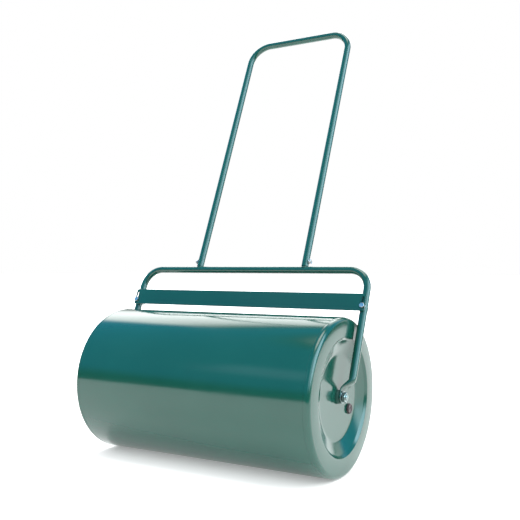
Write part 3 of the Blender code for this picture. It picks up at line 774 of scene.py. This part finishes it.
class Finish:
    """A material under construction: its nodes, its shader and the row-frame coordinates."""

    def __init__(self, name, metallic=0.0):
        self.material = bpy.data.materials.new(name)
        self.material.use_nodes = True
        self.tree = self.material.node_tree
        self.shader = self.tree.nodes["Principled BSDF"]
        self.shader.inputs["Metallic"].default_value = metallic
        self.place = self.tree.nodes.new("ShaderNodeTexCoord").outputs["Object"]

    def set(self, **values):
        for name, value in values.items():
            self.shader.inputs[name.replace("_", " ")].default_value = value

    def link(self, source, target):
        self.tree.links.new(source, target)

    def noise(self, scale, detail=2.0, roughness=0.5, stretch=(1.0, 1.0, 1.0)):
        mapping = self.tree.nodes.new("ShaderNodeMapping")
        mapping.inputs["Scale"].default_value = stretch
        self.link(self.place, mapping.inputs["Vector"])
        node = self.tree.nodes.new("ShaderNodeTexNoise")
        node.inputs["Scale"].default_value = scale
        node.inputs["Detail"].default_value = detail
        node.inputs["Roughness"].default_value = roughness
        self.link(mapping.outputs[0], node.inputs["Vector"])
        return node.outputs["Fac"]

    def span(self, value, low, high, to_low, to_high):
        node = self.tree.nodes.new("ShaderNodeMapRange")
        node.inputs["From Min"].default_value = low
        node.inputs["From Max"].default_value = high
        node.inputs["To Min"].default_value = to_low
        node.inputs["To Max"].default_value = to_high
        self.link(value, node.inputs["Value"])
        return node.outputs[0]

    def math(self, operation, first, second):
        node = self.tree.nodes.new("ShaderNodeMath")
        node.operation = operation
        for socket, value in zip(node.inputs, (first, second)):
            if isinstance(value, (int, float)):
                socket.default_value = value
            else:
                self.link(value, socket)
        return node.outputs[0]

    def mix(self, factor, first, second):
        node = self.tree.nodes.new("ShaderNodeMix")
        node.data_type = "RGBA"
        self.link(factor, node.inputs["Factor"])
        for socket, value in ((node.inputs[6], first), (node.inputs[7], second)):
            if isinstance(value, tuple):
                socket.default_value = (*value, 1.0)
            else:
                self.link(value, socket)
        return node.outputs[2]

    def bump(self, height, distance, under=None):
        node = self.tree.nodes.new("ShaderNodeBump")
        node.inputs["Strength"].default_value = 1.0
        node.inputs["Distance"].default_value = distance
        self.link(height, node.inputs["Height"])
        if under is not None:
            self.link(under, node.inputs["Normal"])
        return node.outputs[0]

    def colour(self, source):
        self.link(source, self.shader.inputs["Base Color"])

    def roughness(self, source):
        self.link(source, self.shader.inputs["Roughness"])

    def normal(self, source):
        self.link(source, self.shader.inputs["Normal"])


def enamel(name, deep, pale, gloss, peel, wave):
    """Gloss paint on sheet steel: slight drifts in shade, faint rubbing, orange peel and sheet waviness."""
    finish = Finish(name)
    finish.set(IOR=1.5)
    drift = finish.span(finish.noise(5.0, 3.0), 0.3, 0.7, 0.0, 1.0)
    speck = finish.span(finish.noise(1400.0, 1.0), 0.35, 0.65, -0.25, 0.25)
    finish.colour(finish.mix(finish.math("ADD", drift, speck), deep, pale))
    rubbed = finish.span(finish.noise(26.0, 6.0, 0.7, (0.25, 1.0, 1.0)), 0.45, 0.75, 0.0, 1.0)
    finish.roughness(finish.span(rubbed, 0.0, 1.0, gloss[0], gloss[1]))
    ripple = finish.bump(finish.noise(7.0, 1.0), wave)
    finish.normal(finish.bump(finish.noise(420.0, 2.0), peel, under=ripple))
    return finish.material


def zinc_plate(name, dull, bright):
    """Zinc plate: crystal patches, some brighter than others, and fine turning marks."""
    finish = Finish(name, metallic=1.0)
    tint = finish.span(finish.noise(420.0, 3.0), 0.40, 0.62, 0.0, 1.0)
    finish.colour(finish.mix(tint, dull, bright))
    patches = finish.span(finish.noise(520.0, 4.0, 0.65), 0.3, 0.7, 0.22, 0.42)
    finish.roughness(patches)
    marks = finish.noise(900.0, 2.0, 0.5, (6.0, 1.0, 1.0))
    finish.normal(finish.bump(marks, 0.00004))
    return finish.material


def mill_steel():
    """Plain drawn steel for the pieces inside the drum."""
    finish = Finish("mill_steel", metallic=1.0)
    finish.colour(finish.mix(finish.noise(60.0, 4.0), (0.30, 0.30, 0.31), (0.42, 0.41, 0.40)))
    finish.roughness(finish.span(finish.noise(240.0, 3.0, 0.6, (0.1, 1.0, 1.0)), 0.3, 0.7, 0.35, 0.55))
    finish.normal(finish.bump(finish.noise(700.0, 2.0, 0.5, (0.1, 1.0, 1.0)), 0.00005))
    return finish.material


ROUGHNESS_DRIFT = 0.08


def moulding(name, deep, pale, roughness, grain):
    """Moulded plastic or rubber with a fine spark-eroded grain."""
    finish = Finish(name)
    finish.colour(finish.mix(finish.span(finish.noise(180.0, 3.0), 0.3, 0.7, 0.0, 1.0), deep, pale))
    low, high = roughness - ROUGHNESS_DRIFT, roughness + ROUGHNESS_DRIFT
    finish.roughness(finish.span(finish.noise(600.0, 2.0), 0.3, 0.7, low, high))
    finish.normal(finish.bump(finish.noise(2600.0, 2.0), grain))
    return finish.material


# ---------------------------------------------------------------- studio

FLOOR_SIZE = 60.0
FLOOR_RIGHT = 2.4                     # the floor ends here; the camera sees white beyond it all the same
FLOOR_WHITE = 0.90
FLOOR_ROUGHNESS = 0.9
FLOOR_GLOW = 0.30                     # keeps the shadow under the drum as pale as the photo's
WHITE = (1.0, 1.0, 1.0)
SKY_BLUE = (0.02, 0.45, 1.0)
PALE_BLUE = (0.65, 0.90, 1.0)
AMBIENT = 0.04
# each soft light: azimuth from +X and half width, its soft edge, lowest and highest elevation and their
# soft edges, all in degrees, then its strength, the share of it that matt surfaces get, and the tint of
# its reflections
SOFT_LIGHTS = (
    (120.0, 34.0, 10.0, 18.0, 27.0, 50.0, 10.0, 4.6, 0.20, WHITE),
    (88.0, 24.0, 16.0, 22.0, 26.0, 57.0, 10.0, 2.5, 1.50, WHITE),
    (8.0, 26.0, 10.0, 6.0, 8.0, 52.0, 20.0, 8.0, 0.32, PALE_BLUE),
    (-40.0, 22.0, 12.0, 14.0, 16.0, 58.0, 14.0, 2.8, 0.60, PALE_BLUE),
    (28.0, 6.0, 5.0, -2.5, 3.0, 6.0, 8.0, 5.0, 0.30, PALE_BLUE),
    (120.0, 180.0, 1.0, 72.0, 10.0, 100.0, 10.0, 6.0, 1.6, WHITE),
    (-68.0, 138.0, 10.0, 11.0, 12.0, 66.0, 10.0, 1.25, 1.05, SKY_BLUE),
    (112.0, 42.0, 10.0, 54.0, 10.0, 66.0, 10.0, 1.25, 0.80, SKY_BLUE),
    (47.0, 14.0, 6.0, 2.0, 3.0, 11.0, 12.0, 1.25, 0.5, SKY_BLUE),
    (69.0, 8.0, 6.0, 1.0, 2.0, 10.0, 8.0, 1.3, 0.5, WHITE),
    (-119.0, 9.0, 8.0, 26.0, 8.0, 37.0, 8.0, 0.7, 0.85, PALE_BLUE),
)
# the camera is placed so that the roller's outline falls where it does in the photo
CAMERA_PLACE = (0.8830, -1.3571, 0.4213)
CAMERA_TILT = math.radians(90.509)
CAMERA_TURN = math.radians(30.249)
CAMERA_LENS = 51.02


def build_floor():
    half = FLOOR_SIZE / 2
    mesh = bpy.data.meshes.new("studio_floor")
    corners = [(-half, -half, 0), (FLOOR_RIGHT, -half, 0), (FLOOR_RIGHT, half, 0), (-half, half, 0)]
    mesh.from_pydata(corners, [], [(0, 1, 2, 3)])
    floor = bpy.data.objects.new("studio_floor", mesh)
    bpy.context.scene.collection.objects.link(floor)
    finish = Finish("studio_white")
    finish.set(Base_Color=(FLOOR_WHITE, FLOOR_WHITE, FLOOR_WHITE, 1.0), Roughness=FLOOR_ROUGHNESS)
    finish.set(Emission_Color=(*WHITE, 1.0), Emission_Strength=FLOOR_GLOW)
    mesh.materials.append(finish.material)


class Sky:
    """The studio's soft lights, as bright areas of the world seen by every ray but the camera's."""

    def __init__(self):
        world = bpy.data.worlds.new("studio")
        bpy.context.scene.world = world
        world.use_nodes = True
        self.tree = world.node_tree
        self.tree.nodes.clear()
        split = self.add("ShaderNodeSeparateXYZ")
        self.tree.links.new(self.add("ShaderNodeTexCoord").outputs["Generated"], split.inputs[0])
        self.ray = self.add("ShaderNodeLightPath")
        self.azimuth = self.math("ARCTAN2", split.outputs[1], split.outputs[0])
        self.elevation = self.math("ARCSINE", split.outputs[2])

    def add(self, kind):
        return self.tree.nodes.new(kind)

    def math(self, operation, *values):
        node = self.add("ShaderNodeMath")
        node.operation = operation
        for socket, value in zip(node.inputs, values):
            if isinstance(value, (int, float)):
                socket.default_value = value
            else:
                self.tree.links.new(value, socket)
        return node.outputs[0]

    def edge(self, value, low, high):
        """0 at the low angle and 1 at the high one, in degrees, with a smooth ramp between."""
        node = self.add("ShaderNodeMapRange")
        node.interpolation_type = "SMOOTHSTEP"
        node.inputs["From Min"].default_value = math.radians(low)
        node.inputs["From Max"].default_value = math.radians(high)
        self.tree.links.new(value, node.inputs["Value"])
        return node.outputs[0]

    def soft_light(self, azimuth, half, soft, low, soft_low, high, soft_high, strength, share, colour):
        turned = self.math("SUBTRACT", self.azimuth, math.radians(azimuth))
        away = self.math("ABSOLUTE", self.math("WRAP", turned, math.pi, -math.pi))
        across = self.edge(away, half + soft / 2, half - soft / 2)
        bottom = self.edge(self.elevation, low - soft_low / 2, low + soft_low / 2)
        top = self.edge(self.elevation, high + soft_high / 2, high - soft_high / 2)
        shape = self.math("MULTIPLY", self.math("MULTIPLY", across, bottom), top)
        shape = self.math("MULTIPLY", shape, strength)
        plain = self.glow((share, share, share), shape)
        tinted = self.glow(colour, shape)
        return self.join("ShaderNodeMixShader", self.ray.outputs["Is Glossy Ray"], plain, tinted)

    def glow(self, colour, strength):
        node = self.add("ShaderNodeBackground")
        node.inputs["Color"].default_value = (*colour, 1.0)
        if isinstance(strength, float):
            node.inputs["Strength"].default_value = strength
        else:
            self.tree.links.new(strength, node.inputs["Strength"])
        return node.outputs[0]

    def join(self, kind, *sources):
        node = self.add(kind)
        for socket, source in zip(node.inputs, sources):
            self.tree.links.new(source, socket)
        return node.outputs[0]

    def finish(self, total):
        seen = self.ray.outputs["Is Camera Ray"]
        chosen = self.join("ShaderNodeMixShader", seen, total, self.glow(WHITE, 1.0))
        self.tree.links.new(chosen, self.add("ShaderNodeOutputWorld").inputs[0])


def build_studio():
    build_floor()
    sky = Sky()
    total = sky.glow(WHITE, AMBIENT)
    for light in SOFT_LIGHTS:
        total = sky.join("ShaderNodeAddShader", total, sky.soft_light(*light))
    sky.finish(total)
    bpy.context.scene.view_settings.view_transform = "Standard"


def build_camera():
    data = bpy.data.cameras.new("camera")
    data.lens = CAMERA_LENS
    camera = bpy.data.objects.new("camera", data)
    bpy.context.scene.collection.objects.link(camera)
    camera.location = CAMERA_PLACE
    camera.rotation_euler = (CAMERA_TILT, 0.0, CAMERA_TURN)
    bpy.context.scene.camera = camera


# ---------------------------------------------------------------- everything together

def build():
    drum_paint = enamel("drum_enamel", (0.0037, 0.0510, 0.0370), (0.0047, 0.0580, 0.0425),
                        (0.12, 0.18), 0.00002, 0.0004)
    frame_paint = enamel("frame_enamel", (0.0038, 0.0500, 0.0360), (0.0048, 0.0570, 0.0415),
                         (0.14, 0.20), 0.00003, 0.0)
    zinc = zinc_plate("zinc_plate", (0.30, 0.33, 0.33), (0.50, 0.52, 0.52))
    # the axle, its washers and nuts get the zinc plate painted darker and greener: painted shade and a
    # painted green reflection, for their place in the drum's dished end
    shade_painted_zinc = zinc_plate("shade_painted_zinc", (0.07, 0.11, 0.105), (0.30, 0.37, 0.36))
    steel = mill_steel()
    nylon = moulding("green_nylon", (0.008, 0.050, 0.038), (0.014, 0.068, 0.052), 0.45, 0.00002)
    plastic = moulding("plug_moulding", (0.045, 0.032, 0.034), (0.070, 0.051, 0.054), 0.55, 0.00002)
    rubber = moulding("seal_rubber", (0.012, 0.012, 0.012), (0.028, 0.027, 0.026), 0.75, 0.00004)

    build_drum(drum_paint, nylon)
    build_plug(plastic, rubber)
    build_axle(shade_painted_zinc, nylon)
    build_lower_frame(frame_paint)
    build_handle(frame_paint, zinc)
    build_scraper(frame_paint, zinc)
    for node in ("axle_sleeve", "filler_neck"):
        frame["nodes"][node].material_slots[0].material = steel
    build_studio()
    build_camera()


build()
